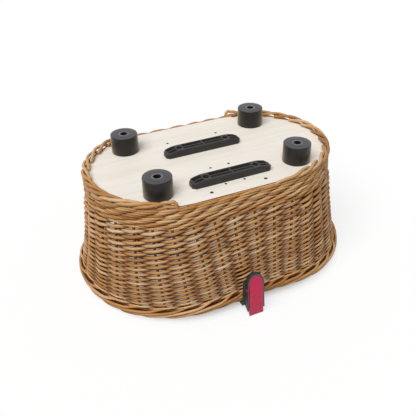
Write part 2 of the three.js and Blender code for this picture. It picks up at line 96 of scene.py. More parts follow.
def newFinish(name, **sockets):
    finish = bpy.data.materials.new(name)
    finish.use_nodes = True
    shader = finish.node_tree.nodes["Principled BSDF"]
    for socket, value in sockets.items():
        shader.inputs[socket.replace("_", " ")].default_value = value
    return finish, finish.node_tree, shader


def addNode(tree, kind, inputs=None, **settings):
    node = tree.nodes.new("ShaderNode" + kind)
    for key, value in settings.items():
        setattr(node, key, value)
    for key, value in (inputs or {}).items():
        if isinstance(value, bpy.types.NodeSocket):
            tree.links.new(value, node.inputs[key])
        else:
            node.inputs[key].default_value = value
    return node


def calc(tree, operation, a, b=0.0):
    return addNode(tree, "Math", {0: a, 1: b}, operation=operation).outputs[0]


def ramp(tree, factor, stops):
    node = addNode(tree, "ValToRGB", {"Fac": factor})
    band = node.color_ramp
    while len(band.elements) < len(stops):
        band.elements.new(0.5)
    for element, (place, colour) in zip(band.elements, stops):
        element.position = place
        element.color = colour if isinstance(colour, tuple) else (colour, colour, colour, 1)
    return node.outputs["Color"]


def mixColour(tree, factor, a, b, blend="MIX"):
    # inputs 6 and 7 and output 2 are the node's colours
    node = addNode(tree, "Mix", data_type="RGBA", blend_type=blend)
    for socket, value in ((node.inputs["Factor"], factor), (node.inputs[6], a), (node.inputs[7], b)):
        if isinstance(value, bpy.types.NodeSocket):
            tree.links.new(value, socket)
        else:
            socket.default_value = value
    return node.outputs[2]


def noise(tree, vector, scale, detail=3.0, rough=0.55, stretch=None):
    if stretch:
        vector = addNode(tree, "Mapping", {"Vector": vector, "Scale": stretch}).outputs["Vector"]
    inputs = {"Vector": vector, "Scale": scale, "Detail": detail, "Roughness": rough}
    return addNode(tree, "TexNoise", inputs).outputs["Fac"]


def upFacing(tree, output):
    normal = addNode(tree, "NewGeometry").outputs[output]
    return addNode(tree, "SeparateXYZ", {"Vector": normal}).outputs["Z"]


def bump(tree, shader, height, strength, depth):
    node = addNode(tree, "Bump", {"Height": height, "Strength": strength, "Distance": depth})
    tree.links.new(node.outputs["Normal"], shader.inputs["Normal"])


# in each look, pairs are a place on a scale from 0 to 1 and the value there
willowLook = {
    "tones": (
        (0.0, tint("7c4d28")),
        (0.22, tint("9f6734")),
        (0.5, tint("c99355")),
        (0.86, tint("e6c397")),
    ),
    "ownTone": 0.46,  # how much a rod's own tone counts
    "patchTone": 0.56,  # and how much its patches
    "patches": {"scale": 1.0, "detail": 2.0, "stretch": (1.6, 0.35, 0.35)},
    "fibres": {"scale": 3.0, "detail": 5.0, "rough": 0.65, "stretch": (2.2, 3.4, 3.4)},
    "fibreShade": ((0.3, 0.72), (0.68, 1.0)),
    "fibreMix": 0.75,
    "knots": {"scale": 1.3, "detail": 2.0, "stretch": (5.0, 0.9, 0.9)},
    "knotMask": ((0.66, 0.0), (0.74, 0.75)),
    "knot": tint("5f3315"),
    "inner": tint("56270a"),  # painted shade, darker between the rods
    "creviceShadeMask": ((0.08, 0.0), (0.62, 1.0)),  # and fades out towards their backs
    "apart": 61.0,  # each tone has its own stretch of the pattern
    "rough": ((0.25, 0.3), (0.75, 0.5)),
    "relief": {"strength": 0.35, "depth": 0.0005},
    "varnish": {"Specular_IOR_Level": 0.22, "Coat_Weight": 0.15, "Coat_Roughness": 0.24},
}


def willowFinish(look):
    finish, tree, shader = newFinish("willow", **look["varnish"])
    split = addNode(tree, "SeparateXYZ", {"Vector": addNode(tree, "TexCoord").outputs["UV"]})
    tone = addNode(tree, "Attribute", attribute_name="tone").outputs["Fac"]
    crown = addNode(tree, "Attribute", attribute_name="crown").outputs["Fac"]
    along = calc(tree, "ADD", split.outputs["X"], calc(tree, "MULTIPLY", tone, look["apart"]))
    turn = calc(tree, "MULTIPLY", split.outputs["Y"], 2 * math.pi)
    circle = {"X": along, "Y": calc(tree, "COSINE", turn), "Z": calc(tree, "SINE", turn)}
    rodPlace = addNode(tree, "CombineXYZ", circle).outputs["Vector"]

    # fine fibres run along the rod, broad patches change its colour, small dark knots sit on it
    fibres = noise(tree, rodPlace, **look["fibres"])
    patches = noise(tree, rodPlace, **look["patches"])
    knots = noise(tree, rodPlace, **look["knots"])
    ownTone = calc(tree, "MULTIPLY", tone, look["ownTone"])
    level = calc(tree, "ADD", ownTone, calc(tree, "MULTIPLY", patches, look["patchTone"]))
    colour = ramp(tree, level, look["tones"])
    fibreShade = ramp(tree, fibres, look["fibreShade"])
    colour = mixColour(tree, look["fibreMix"], colour, fibreShade, "MULTIPLY")
    # painted shade: darker where a rod lies near the wall's middle, in the shade of the others
    colour = mixColour(tree, ramp(tree, crown, look["creviceShadeMask"]), look["inner"], colour)
    colour = mixColour(tree, ramp(tree, knots, look["knotMask"]), colour, look["knot"])
    tree.links.new(colour, shader.inputs["Base Color"])
    tree.links.new(ramp(tree, fibres, look["rough"]), shader.inputs["Roughness"])
    bump(tree, shader, fibres, **look["relief"])
    return finish


plywoodLook = {
    "bend": {"scale": 1.0, "detail": 2.0, "stretch": (3.0, 7.0, 3.0)},  # how the grain wanders
    "bendBy": 0.05,
    "bands": {"scale": 2.0, "detail": 4.0, "rough": 0.6, "stretch": (1.4, 34.0, 10.0)},
    "bandTones": ((0.36, tint("f3eadd")), (0.6, tint("f8f1e8"))),
    "fibres": {"scale": 2.0, "detail": 3.0, "rough": 0.6, "stretch": (9.0, 420.0, 90.0)},
    "fibreShade": ((0.3, 0.86), (0.65, 1.0)),
    "fibreMix": 0.55,
    "pores": {"scale": 1.0, "detail": 2.0, "stretch": (60.0, 900.0, 200.0)},
    "poreMask": ((0.66, 0.0), (0.76, 0.5)),
    "pore": tint("dfd1ba"),
    "clouds": {"scale": 9.0, "detail": 2.0},
    "cloudShade": ((0.35, 0.9), (0.65, 1.0)),
    "cloudMix": 0.3,
    "plies": 7,
    "thickness": 0.009,
    "plyTones": ((0.35, tint("6b4526")), (0.65, tint("9c6f43"))),  # glue and wood
    "faceMask": ((0.4, 0.0), (0.6, 1.0)),
    "rough": ((0.3, 0.5), (0.7, 0.68)),
    "relief": {"strength": 0.25, "depth": 0.0003},
}


def plywoodFinish(look):
    finish, tree, shader = newFinish("plywood")
    place = addNode(tree, "TexCoord").outputs["Object"]
    aside = calc(tree, "MULTIPLY", noise(tree, place, **look["bend"]), look["bendBy"])
    push = addNode(tree, "CombineXYZ", {"Y": aside}).outputs["Vector"]
    wavy = addNode(tree, "VectorMath", {0: place, 1: push}, operation="ADD").outputs["Vector"]
    bands = noise(tree, wavy, **look["bands"])
    fibres = noise(tree, wavy, **look["fibres"])
    pores = noise(tree, place, **look["pores"])
    clouds = noise(tree, place, **look["clouds"])
    colour = ramp(tree, bands, look["bandTones"])
    fibreShade = ramp(tree, fibres, look["fibreShade"])
    colour = mixColour(tree, look["fibreMix"], colour, fibreShade, "MULTIPLY")
    colour = mixColour(tree, ramp(tree, pores, look["poreMask"]), colour, look["pore"])
    cloudShade = ramp(tree, clouds, look["cloudShade"])
    colour = mixColour(tree, look["cloudMix"], colour, cloudShade, "MULTIPLY")
    # sawn edges and drilled holes show the plies
    height = addNode(tree, "SeparateXYZ", {"Vector": place}).outputs["Z"]
    layer = calc(tree, "MULTIPLY", height, look["plies"] / look["thickness"])
    plies = ramp(tree, calc(tree, "PINGPONG", layer, 1.0), look["plyTones"])
    level = calc(tree, "ABSOLUTE", upFacing(tree, "True Normal"))
    colour = mixColour(tree, ramp(tree, level, look["faceMask"]), plies, colour)
    tree.links.new(colour, shader.inputs["Base Color"])
    tree.links.new(ramp(tree, fibres, look["rough"]), shader.inputs["Roughness"])
    bump(tree, shader, fibres, **look["relief"])
    return finish


rubberLook = {
    "side": tint("171513"),
    "endMask": ((0.88, 0.0), (0.96, 1.0)),
    "endPaintedLight": ((0.965, tint("5a5b64")), (0.999, tint("3c3d45"))),  # painted reflection of the sky on the end face, with a painted highlight round its edge
    "smears": {"scale": 34.0, "detail": 3.0},
    "smearShade": ((0.3, 0.75), (0.7, 1.0)),
    "smearMix": 0.5,
    "rough": ((0.3, 0.32), (0.7, 0.42)),
    "endRough": 0.2,  # more on the end face
    "grain": {"scale": 900.0, "detail": 2.0},
    "relief": {"strength": 0.15, "depth": 0.0002},
    "specular": 0.32,
    "dust": {"Sheen_Weight": 0.9, "Sheen_Roughness": 0.4, "Sheen_Tint": tint("d2c2a8")},
}


def rubberFinish(look):
    finish, tree, shader = newFinish("foot_rubber", Specular_IOR_Level=look["specular"], **look["dust"])
    place = addNode(tree, "TexCoord").outputs["Object"]
    grain = noise(tree, place, **look["grain"])
    smears = noise(tree, place, **look["smears"])
    level = upFacing(tree, "Normal")
    # painted light: the end face lighter and bluish than the side, palest at its rounded edge
    end = ramp(tree, level, look["endMask"])
    colour = mixColour(tree, end, look["side"], ramp(tree, level, look["endPaintedLight"]))
    smearShade = ramp(tree, smears, look["smearShade"])
    colour = mixColour(tree, look["smearMix"], colour, smearShade, "MULTIPLY")
    tree.links.new(colour, shader.inputs["Base Color"])
    endRough = calc(tree, "MULTIPLY", end, look["endRough"])
    rough = calc(tree, "ADD", endRough, ramp(tree, smears, look["rough"]))
    tree.links.new(rough, shader.inputs["Roughness"])
    bump(tree, shader, grain, **look["relief"])
    return finish


# moulded and metal finishes: two tones, roughness from and to, and how fine the grain is
paintedHighlightLook = {"tones": ("5c5d66", "7b7c86"), "rough": (0.4, 0.55), "grain": 900.0, "specular": 0.4}
blackLook = {"tones": ("2a2927", "343330"), "rough": (0.36, 0.52), "grain": 1400.0, "specular": 0.3}
paintedFrontLightLook = {"tones": ("494a50", "5d5e65"), "rough": (0.36, 0.5), "grain": 1400.0, "specular": 0.5}
redLook = {"tones": ("d6044c", "e00652"), "rough": (0.14, 0.22), "grain": 1100.0, "specular": 0.42}
zincLook = {"tones": ("8a8d92", "b0b3b8"), "rough": (0.25, 0.42), "grain": 700.0, "metal": 1.0}
darkSteelLook = {"tones": ("2c2d33", "3e4048"), "rough": (0.3, 0.45), "grain": 700.0, "metal": 1.0}
mouldedLook = {  # the same for all
    "coarser": 28,  # how much broader the smears are than the grain
    "smearEdge": (0.3, 0.72),
    "roughEdge": (0.3, 0.7),
    "smearShare": 0.7,  # of the roughness, the rest is the grain's
    "relief": {"strength": 0.18, "depth": 0.0002},
    "specular": 0.5,
    "metal": 0.0,
}


def mouldedFinish(name, ownLook):
    look = {**mouldedLook, **ownLook}
    finish, tree, shader = newFinish(name, Specular_IOR_Level=look["specular"], Metallic=look["metal"])
    place = addNode(tree, "TexCoord").outputs["Object"]
    grain = noise(tree, place, look["grain"], 2.0)
    smears = noise(tree, place, look["grain"] / look["coarser"])
    tones = [tint(code) for code in look["tones"]]
    tree.links.new(ramp(tree, smears, list(zip(look["smearEdge"], tones))), shader.inputs["Base Color"])
    broad = calc(tree, "MULTIPLY", smears, look["smearShare"])
    fine = calc(tree, "MULTIPLY", grain, 1 - look["smearShare"])
    rough = ramp(tree, calc(tree, "ADD", broad, fine), list(zip(look["roughEdge"], look["rough"])))
    tree.links.new(rough, shader.inputs["Roughness"])
    bump(tree, shader, grain, **look["relief"])
    return finish


willow = willowFinish(willowLook)
plywood = plywoodFinish(plywoodLook)
footRubber = rubberFinish(rubberLook)
# a paler rubber: a painted highlight on the feet's rounded screw mouths
paintedHighlightRubber = mouldedFinish("painted_highlight_rubber", paintedHighlightLook)
blackPlastic = mouldedFinish("black_plastic", blackLook)
# a paler plastic: painted light on the latch cheeks' front faces
paintedFrontLightPlastic = mouldedFinish("painted_front_light_plastic", paintedFrontLightLook)
redPlastic = mouldedFinish("red_plastic", redLook)
zincSteel = mouldedFinish("zinc_steel", zincLook)
blackSteel = mouldedFinish("black_steel", darkSteelLook)
print("stage: finishes")

# the wall's shape, from the CAD boxes and the same numbers as the part's source
plateLow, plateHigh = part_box("base_plate")
rimLow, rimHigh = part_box("rim_border")
wall = {
    "thickness": 0.012,
    "margin": 0.008,  # the weave stands outside the plate's edge
    "arch": 0.016,  # the rim rises in the middle of the long sides
    "borderSize": 0.020,
    "baseWale": 0.0345,
    "sideFlare": 1.0,
    "endFlare": 1.8,
    "stakes": 36,
    "firstStake": 0.0108,  # from the middle of the latch side
    "closer": 0.1,  # stakes stand closer along the straight sides
    "stakeSway": 0.015,  # uneven spacing, in stakes
    "crown": 0.0055,  # how far the rods' backs stand from the wall's middle
    "outer": 0.0004,  # the stakes stand nearer the outside at the plate, to pass its edge,
    "outerDepth": 0.03,  # and come back to the middle down here
}
plateTop = plateHigh.z
middleY = (plateLow.y + plateHigh.y) / 2
plateRadius = (plateHigh.y - plateLow.y) / 2
plateHalf = (plateHigh.x - plateLow.x) / 2 - plateRadius
borderReach = (wall["borderSize"] - wall["thickness"]) / 2
rimRadius = (rimHigh.y - rimLow.y) / 2 - borderReach
rimHalf = (rimHigh.x - rimLow.x) / 2 - borderReach - rimRadius
borderAxis = plateTop - wall["borderSize"] / 2

midHalf = (plateHalf + rimHalf) / 2
midRadius = (plateRadius + wall["margin"] + rimRadius) / 2
outlineLength = 4 * midHalf + 2 * math.pi * midRadius

luck = random.Random(418)  # the same basket every time
stakeSway = np.array([luck.uniform(-1, 1) for i in range(wall["stakes"])]) * wall["stakeSway"]


def perStake(values, turns):
    steps = np.arange(wall["stakes"] + 1)
    return np.interp(np.mod(turns, wall["stakes"]), steps, np.append(values, values[0]))


def stationAt(turns):
    # turns counts stakes, counter-clockwise from the middle of the latch side
    share = (turns + perStake(stakeSway, turns)) / wall["stakes"]
    share = share - wall["closer"] * np.sin(4 * math.pi * share) / (4 * math.pi)
    place = np.mod(share * outlineLength + wall["firstStake"], outlineLength)
    arc = math.pi * midRadius
    ends = [midHalf, midHalf + arc, 3 * midHalf + arc, 3 * midHalf + 2 * arc]
    spans = [place < ends[0], place < ends[1], place < ends[2], place < ends[3]]
    alongs = [place / midHalf, 1.0, 1 - (place - ends[1]) / midHalf, -1.0]
    angles = [0.0, (place - ends[0]) / midRadius, math.pi, math.pi + (place - ends[2]) / midRadius]
    along = np.select(spans, alongs, -1 + (place - ends[3]) / midHalf)
    angle = np.select(spans, angles, 2 * math.pi) - math.pi / 2
    return along, angle


def borderDrop(turns):
    along, angle = stationAt(turns)
    x = along * rimHalf + rimRadius * np.cos(angle)
    return borderAxis - wall["arch"] * (1 - (x / (rimHalf + rimRadius)) ** 2) ** 2


def wallAt(turns, drop, outward):
    along, angle = stationAt(turns)
    faceX, faceY = np.cos(angle), np.sin(angle)
    flare = wall["sideFlare"] + (wall["endFlare"] - wall["sideFlare"]) * faceX ** 2
    share = np.maximum(drop / borderDrop(turns), 0) ** flare
    half = (plateHalf + (rimHalf - plateHalf) * share) * along
    plateWall = plateRadius + wall["margin"]
    reach = plateWall + (rimRadius - plateWall) * share + outward
    height = plateTop - drop + 0 * along
    return np.stack([half + faceX * reach, middleY + faceY * reach, height], axis=1)


def liftedAt(turns, drop, outward, lift):
    points = wallAt(turns, drop, outward)
    points[:, 2] += lift
    return points


def stakeLine(drop):
    share = np.clip(1 - drop / wall["outerDepth"], 0, 1)
    return -wall["thickness"] / 2 + wall["outer"] * share


# rods: swept tubes with rounded ends, a map along the rod and a tone of their own
rodShape = {
    "endLength": 0.35,  # of the rounded ends, in radii
    "endRadius": 0.68,
    "mapScale": 10,  # the map runs on by this in a metre
}


def sweep(points):
    tangents = np.gradient(points, axis=0)
    tangents /= np.linalg.norm(tangents, axis=1)[:, None]
    steep = abs(tangents[0][2]) >= 0.9
    start = np.array((1.0, 0.0, 0.0) if steep else (0.0, 0.0, 1.0))
    normal = start - tangents[0] * (start @ tangents[0])
    normals = [normal / np.linalg.norm(normal)]
    for i in range(len(points) - 1):  # carried along without twist
        step = points[i + 1] - points[i]
        size = step @ step
        flipped = normals[i] - step * (2 / size) * (step @ normals[i])
        heading = tangents[i] - step * (2 / size) * (step @ tangents[i])
        change = tangents[i + 1] - heading
        size = max(change @ change, 1e-12)
        normals.append(flipped - change * (2 / size) * (change @ flipped))
    normals = np.array(normals)
    return normals, np.cross(tangents, normals)


def rodPiece(name, rods, sides):
    # each rod: its points, radii, tone, place out from the wall's middle, and stakes passed
    vertices, faces, maps, tones, crowns = [], [], [], [], []
    first = 0
    angles = np.arange(sides) * 2 * math.pi / sides
    cosines, sines = np.cos(angles)[:, None], np.sin(angles)[:, None]
    for points, radii, tone, out, turns in rods:
        points = np.asarray(points)
        radii = np.broadcast_to(radii, len(points))
        heading = np.pad(stationAt(turns)[1], 1, mode="edge")
        facing = np.stack([np.cos(heading), np.sin(heading), 0 * heading], axis=1)
        out = np.pad(np.broadcast_to(out, len(points)), 1, mode="edge")
        lead = points[0] - points[1]
        tail = points[-1] - points[-2]
        lead *= radii[0] * rodShape["endLength"] / np.linalg.norm(lead)
        tail *= radii[-1] * rodShape["endLength"] / np.linalg.norm(tail)
        points = np.vstack([points[0] + lead, points, points[-1] + tail])
        narrow = rodShape["endRadius"]
        radii = np.concatenate([[radii[0] * narrow], radii, [radii[-1] * narrow]])
        normals, sideways = sweep(points)
        rings = normals[:, None] * cosines + sideways[:, None] * sines
        vertices.append((points[:, None] + rings * radii[:, None, None]).reshape(-1, 3))
        outwards = np.sum(rings * facing[:, None], axis=2)
        # how far each point stands from the wall's middle, read by the willow's painted shade
        crowns.append(np.abs(out[:, None] + radii[:, None] * outwards).ravel())
        steps = np.linalg.norm(np.diff(points, axis=0), axis=1)
        lengths = np.concatenate([[0], np.cumsum(steps)]) * rodShape["mapScale"]
        count = len(points)
        for i in range(count - 1):
            a, b = first + i * sides, first + (i + 1) * sides
            for j in range(sides):
                k = (j + 1) % sides
                faces.append((a + j, a + k, b + k, b + j))
                near, far = lengths[i], lengths[i + 1]
                maps += [near, j / sides, near, (j + 1) / sides, far, (j + 1) / sides, far, j / sides]
        last = first + (count - 1) * sides
        faces.append(tuple(range(first + sides - 1, first - 1, -1)))
        faces.append(tuple(range(last, last + sides)))
        maps += [0.0, 0.5] * sides + [lengths[-1], 0.5] * sides
        tones.append(np.full(count * sides, tone))
        first += count * sides
    mesh = bpy.data.meshes.new(name)
    mesh.from_pydata(np.concatenate(vertices).tolist(), [], faces)
    layer = mesh.uv_layers.new(name="rod")
    layer.data.foreach_set("uv", np.array(maps, np.float32))
    for key, values, scale in (("tone", tones, 1.0), ("crown", crowns, 1 / wall["crown"])):
        attribute = mesh.attributes.new(key, "FLOAT", "POINT")
        attribute.data.foreach_set("value", (np.concatenate(values) * scale).astype(np.float32))
    mesh.shade_smooth()
    mesh.materials.append(willow)
    piece = bpy.data.objects.new(name, mesh)
    bpy.context.scene.collection.objects.link(piece)
    return piece


def settle(piece, body, slot, *stoodFor):
    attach(piece, body)
    if stoodFor:
        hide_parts(*stoodFor)


def easedCurve(knots, values, samples):
    # smooth curve through the values
    knots, values = np.array(knots), np.array(values)
    slopes = np.gradient(values, knots)
    index = np.clip(np.searchsorted(knots, samples, side="right") - 1, 0, len(knots) - 2)
    span = knots[index + 1] - knots[index]
    t = (samples - knots[index]) / span
    a, b = values[index], values[index + 1]
    ma, mb = slopes[index] * span, slopes[index + 1] * span
    square, cube = t ** 2, t ** 3
    return (
        (2 * cube - 3 * square + 1) * a
        + (cube - 2 * square + t) * ma
        + (3 * square - 2 * cube) * b
        + (cube - square) * mb
    )


def alongPath(path, samples):
    # how far out and up a rod runs, from rows of stakes passed, out and up
    turns, outward, lift = zip(*path)
    return easedCurve(turns, outward, samples), easedCurve(turns, lift, samples)


def smoothLuck(low, high):
    return np.array([luck.uniform(low, high) for i in range(wall["stakes"])])


# plain weave: one rod for every stake, in front of one and behind the next, one level on in two strokes
weave = {
    "levels": 16,
    "steps": 8,  # points from stake to stake
    "closing": 0.3,  # levels close up towards the rim
    "thick": (0.29, 0.305),  # rod radius as a share of the level's height, at the base and at the rim
    "stakeRadius": 0.0023,
    "kink": 0.6,  # 0 is a smooth wave, 1 runs straight from stake to stake
    "climb": 0.3,  # how much of the climb is done in front of the stakes
    "hug": 0.88,  # rods and stakes press into each other
    "aboveRim": 0.0105,  # lowest level, above the border's middle
    "lift": 0.2,  # the flared wall faces up a little, so what bends out stands higher
    "ends": (0.75, 1.25),  # strokes that a rod starts early and stops short
    "beyond": 0.1,  # so far the levels go on past the wall, as a share
    "sway": 0.09,  # in levels
    "uneven": (0.93, 1.07),  # radius
    "bulge": (0.92, 1.08),  # how far it stands out
    "sides": 7,
}


def levelDrop(turns, level):
    top = wall["baseWale"]
    end = borderDrop(turns) - weave["aboveRim"]
    share = np.clip(level / weave["levels"], -weave["beyond"], 1 + weave["beyond"])
    return top + (end - top) * share * (1 + weave["closing"] - weave["closing"] * share)


def weaveRod(first):
    early, short = weave["ends"]
    stroke = np.arange(-early, 2 * weave["levels"] - short, 1 / weave["steps"])
    turns = first - stroke
    level = stroke / 2 + weave["climb"] * np.sin(np.pi * stroke) / (2 * np.pi)
    level = level + perStake(smoothLuck(-weave["sway"], weave["sway"]), turns)
    height = levelDrop(turns, level + 0.5) - levelDrop(turns, level - 0.5)
    radii = height * np.interp(stroke, [0, 2 * weave["levels"]], weave["thick"])
    radii = radii * perStake(smoothLuck(*weave["uneven"]), turns)
    wave = np.cos(np.pi * stroke)
    swing = weave["kink"] * np.arcsin(np.clip(wave, -1, 1)) * 2 / np.pi + (1 - weave["kink"]) * wave
    drop = levelDrop(turns, level + 0.5)
    reach = (weave["stakeRadius"] + radii) * weave["hug"]
    out = reach * perStake(smoothLuck(*weave["bulge"]), turns) * swing
    points = wallAt(turns, drop - weave["lift"] * out, stakeLine(drop) + out)
    return points, radii, luck.random(), out, turns


weaveRods = [weaveRod(stake) for stake in range(wall["stakes"])]
weavePiece = rodPiece("weave_rods", weaveRods, weave["sides"])
settle(weavePiece, "basket", "wicker", "wicker_wall")
print("stage: plain weave,", len(weavePiece.data.polygons), "faces")

# wales: close rows of two rods that change places between the stakes, climbing in front of each
wale = {
    "rows": 8,
    "below": 0.0014,  # under the plate's face
    "steps": 8,
    "hug": 0.85,
    "lift": 0.5,
    "slant": 0.45,  # of a row's height, up and down
    "flush": 0.0037,  # no rod rises above the plate's face
    "shift": 0.3,  # the strands change places somewhere else in every row
    "wander": 0.14,
    "linger": 0.22,  # and both stay outside for a while
    "radius": 0.00205,
    "rimRadius": 0.0018,
    "rimClimb": 0.0022,
    "aboveRim": 0.0072,  # from the border's middle
    "periods": (6, 7, 5),  # lengths of the rods, in pairs of stakes
    "overlap": 0.3,  # of their ends, in stakes
    "tuckLength": 0.6,  # a new rod starts inside
    "tuckDepth": 1.6,  # in radii
    "taper": (1.05, 0.92),
    "phases": (0, 0.35, 1.65, 2),  # from inside to outside and back,
    "rises": (0, -1, 1, 0),  # and the climb there
    "bob": 0.25,  # uneven climb
    "sides": 8,
}


def waleRow(rowMiddle, climb, radius, rods):
    shift = luck.uniform(-wale["shift"], wale["shift"])
    wander = smoothLuck(-wale["wander"], wale["wander"])
    for strand in range(2):
        start = strand + 2 * luck.randrange(wall["stakes"] // 2)
        for periods in wale["periods"]:
            end = start + 2 * periods
            turns = np.arange(start - wale["overlap"], end + wale["overlap"], 1 / wale["steps"])
            phase = np.mod(turns - strand + shift + perStake(wander, turns), 2)
            swing = -np.cos(np.pi * phase) + wale["linger"] * np.sin(np.pi * phase) ** 2
            rise = np.interp(phase, wale["phases"], wale["rises"])
            rise = rise + perStake(smoothLuck(-wale["bob"], wale["bob"]), turns)
            radii = np.interp(turns, [start, end], wale["taper"]) * radius
            drop = np.maximum(rowMiddle(turns) - climb * rise, wale["flush"])
            tucked = np.clip(1 - (turns - start + wale["overlap"]) / wale["tuckLength"], 0, 1)
            inside = tucked * wale["tuckDepth"] * radius
            out = (weave["stakeRadius"] + radius) * wale["hug"] * swing - inside
            points = wallAt(turns, drop - wale["lift"] * out, stakeLine(drop) + out)
            rods.append((points, radii, luck.random(), out, turns))
            start = end


baseRods = []
for rowIndex in range(wale["rows"]):
    rowHeight = (wall["baseWale"] - wale["below"]) / wale["rows"]
    rowPlace = wale["below"] + (rowIndex + 0.5) * rowHeight
    waleRow(lambda turns: rowPlace + 0 * turns, rowHeight * wale["slant"], wale["radius"], baseRods)

edgeRods = {  # rods that lie along the plate's edge
    "spans": ((0, 11), (10.5, 20), (19.4, 28), (27.6, 36.3)),  # in stakes
    "radius": 0.0017,
    "gap": 0.0004,  # to the plate
    "drop": 0.0016,
    "wave": 0.0003,
    "waveRate": 2.6,
    "tones": (0.3, 0.9),
}
for edgeStart, edgeEnd in edgeRods["spans"]:
    edgeTurns = np.arange(edgeStart, edgeEnd, 1 / wale["steps"])
    edgeDrop = edgeRods["drop"] + edgeRods["wave"] * np.sin(edgeTurns * edgeRods["waveRate"])
    edgeOut = -wall["margin"] + edgeRods["radius"] + edgeRods["gap"]
    edgePoints = wallAt(edgeTurns, edgeDrop, edgeOut)
    edgeTone = luck.uniform(*edgeRods["tones"])
    baseRods.append((edgePoints, edgeRods["radius"], edgeTone, wall["crown"], edgeTurns))
basePiece = rodPiece("base_wale_rods", baseRods, wale["sides"])
settle(basePiece, "basket", "wicker", "base_wale")

rimWaleRods = []
waleRow(
    lambda turns: borderDrop(turns) - wale["aboveRim"],
    wale["rimClimb"],
    wale["rimRadius"],
    rimWaleRods,
)
rimWalePiece = rodPiece("rim_wale_rods", rimWaleRods, wale["sides"])
settle(rimWalePiece, "basket", "wicker", "rim_wale")
print("stage: wales")

# rim border: every stake turns aside, runs down in front of two stakes and goes in under the third
rim = {
    "path": (  # stakes passed, and there out from the wall's face and up from the border's middle
        (0.0, -0.0062, 0.0072),
        (0.25, -0.004, 0.006),
        (0.6, 0.0002, 0.0046),
        (1.0, 0.0012, 0.0032),
        (1.6, 0.0014, 0.0004),
        (2.2, 0.001, -0.0028),
        (2.7, -0.0014, -0.006),
        (3.1, -0.0058, -0.0076),
        (3.6, -0.0102, -0.0066),
        (4.4, -0.0132, -0.0026),
        (5.2, -0.0136, 0.0014),
    ),
    "shorter": 0.5,  # some stop earlier
    "stray": 0.0004,
    "radius": 0.0021,
    "taper": (1.06, 0.84),
    "uneven": (0.93, 1.06),  # radius
    "points": 44,
    "core": 0.0032,  # three rods fill the middle
    "coreAngles": (0, 120, 240),
    "coreTone": -0.1,
    "coreOverlap": 0.2,
    "coreStep": 0.25,
    "sides": 9,
}
rimRods = []
rimRun = rim["path"][-1][0]
for stake in range(wall["stakes"]):
    samples = np.linspace(0, rimRun - luck.uniform(0, rim["shorter"]), rim["points"])
    outward, lift = alongPath(rim["path"], samples)
    outward = outward + luck.uniform(-rim["stray"], rim["stray"])
    lift = lift + luck.uniform(-rim["stray"], rim["stray"])
    radii = np.interp(samples, [0, rimRun], rim["taper"]) * rim["radius"]
    radii = radii * luck.uniform(*rim["uneven"])
    turns = stake - samples
    points = liftedAt(turns, borderDrop(turns), outward, lift)
    out = outward + wall["thickness"] / 2
    rimRods.append((points, radii, luck.random(), out, turns))
for coreAngle in rim["coreAngles"]:
    turns = np.arange(0, wall["stakes"] + rim["coreOverlap"], rim["coreStep"])
    out = rim["core"] * math.cos(math.radians(coreAngle))
    lift = rim["core"] * math.sin(math.radians(coreAngle))
    points = liftedAt(turns, borderDrop(turns), out - wall["thickness"] / 2, lift)
    rimRods.append((points, rim["radius"], rim["coreTone"], 0.0, turns))
rimPiece = rodPiece("rim_border_rods", rimRods, rim["sides"])
settle(rimPiece, "basket", "wicker", "rim_border")
print("stage: rim border")

# stakes: upright rods, cut off just under the plate's face
stakeShape = {
    "top": 0.0012,
    "topStray": (-0.0005, 0.0008),
    "aboveRim": 0.004,  # they end here, from the border's middle
    "sway": 0.05,  # in stakes
    "swayRate": (18, 30),
    "swayStart": 6,
    "uneven": (0.95, 1.08),  # radius
    # darker tones than the weave: painted shade, as the stakes lie in the shadow of the strands
    "tones": (-0.3, 0.0),
    "points": 26,
    "sides": 8,
}
stakeRods = []
for stake in range(wall["stakes"]):
    top = stakeShape["top"] + luck.uniform(*stakeShape["topStray"])
    end = float(borderDrop(np.array([float(stake)]))[0]) - stakeShape["aboveRim"]
    drop = np.linspace(top, end, stakeShape["points"])
    rate = luck.uniform(*stakeShape["swayRate"])
    sway = np.sin(drop * rate + luck.random() * stakeShape["swayStart"])
    turns = stake + stakeShape["sway"] * sway
    points = wallAt(turns, drop, stakeLine(np.maximum(drop, 0)))
    radius = weave["stakeRadius"] * luck.uniform(*stakeShape["uneven"])
    stakeRods.append((points, radius, luck.uniform(*stakeShape["tones"]), 0.0, turns))
stakePiece = rodPiece("stakes", stakeRods, stakeShape["sides"])
settle(stakePiece, "basket", "wicker")
print("stage: stakes")

# foot borders: at the round ends the stakes turn over the plate's edge and lie on the next ones
footBorder = {
    "right": (-89, 84),  # degrees round the plate's end where it starts and stops
    "left": (99, 257),
    "path": (  # stakes passed, and there out from the wall's face and up from the plate's
        (0.0, -0.0058, -0.008),
        (0.2, -0.0046, -0.001),
        (0.5, -0.0022, 0.0032),
        (0.9, -0.0016, 0.0052),
        (1.4, -0.0036, 0.0074),
        (1.8, -0.0074, 0.0076),
        (2.2, -0.0102, 0.0054),
        (2.6, -0.0116, 0.0034),
    ),
    "shorter": 0.2,  # some stop earlier
    "lastAt": 2.0,  # stakes before the end
    "clear": 0.3,  # none runs past the bent end
    "points": 30,
    "radius": 0.0027,
    "uneven": (0.92, 1.08),  # radius
    "sides": 8,
}
bentRod = {  # the last rod runs on and is bent down into the weave
    "path": (
        (0.0, -0.0080, 0.0068),
        (0.1, -0.0078, 0.0080),
        (0.3, -0.0072, 0.0094),
        (0.5, -0.0064, 0.0094),
        (0.74, -0.0058, 0.0080),
        (0.82, -0.0056, 0.001),
        (0.84, -0.0056, -0.009),
    ),
    "points": 34,
    "tone": 0.7,
}
